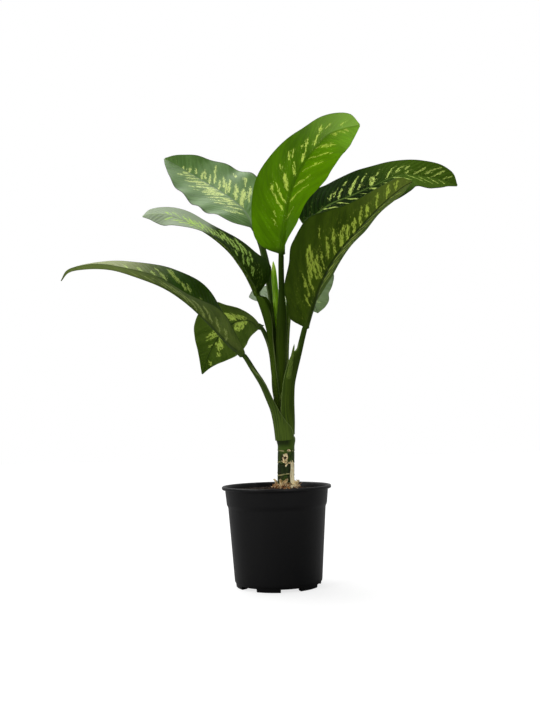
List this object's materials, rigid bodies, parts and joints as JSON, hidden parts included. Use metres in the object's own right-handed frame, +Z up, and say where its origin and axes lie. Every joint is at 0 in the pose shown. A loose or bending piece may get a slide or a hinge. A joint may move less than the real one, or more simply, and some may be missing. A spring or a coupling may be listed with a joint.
{
  "type": "potted dieffenbachia",
  "caption": "House plant in a plain growers' pot: a short ringed cane carries a fan of broad, cream-flecked leaves that arch out on long sheathing stalks, with a rolled new leaf.",
  "frame": {"origin": "middle of the flat pad under the pot, on the surface the pot stands on", "axes": "+Z up along the pot's axis; -Y is the pictured front; +X is the right of the picture"},
  "size_m": [0.7256, 0.3746, 0.8189],
  "materials": {
    "pot": "satin",
    "soil": "matte",
    "cane": "satin",
    "husk": "matte",
    "dried_sheath": "matte",
    "leaf": "satin",
    "young_leaf": "satin"
  },
  "bodies": {
    "root": {"pot": "pot", "soil": "soil", "cane": "cane", "root_tuft": "husk", "dry_sheath": "dried_sheath", "leaf_lower_left": "leaf", "leaf_front_right": "leaf", "leaf_hanging_left": "leaf", "leaf_back": "leaf", "leaf_left": "leaf", "leaf_right": "leaf", "leaf_upper_left": "leaf", "leaf_centre": "leaf", "new_leaf": "young_leaf"}
  },
  "joints": []
}
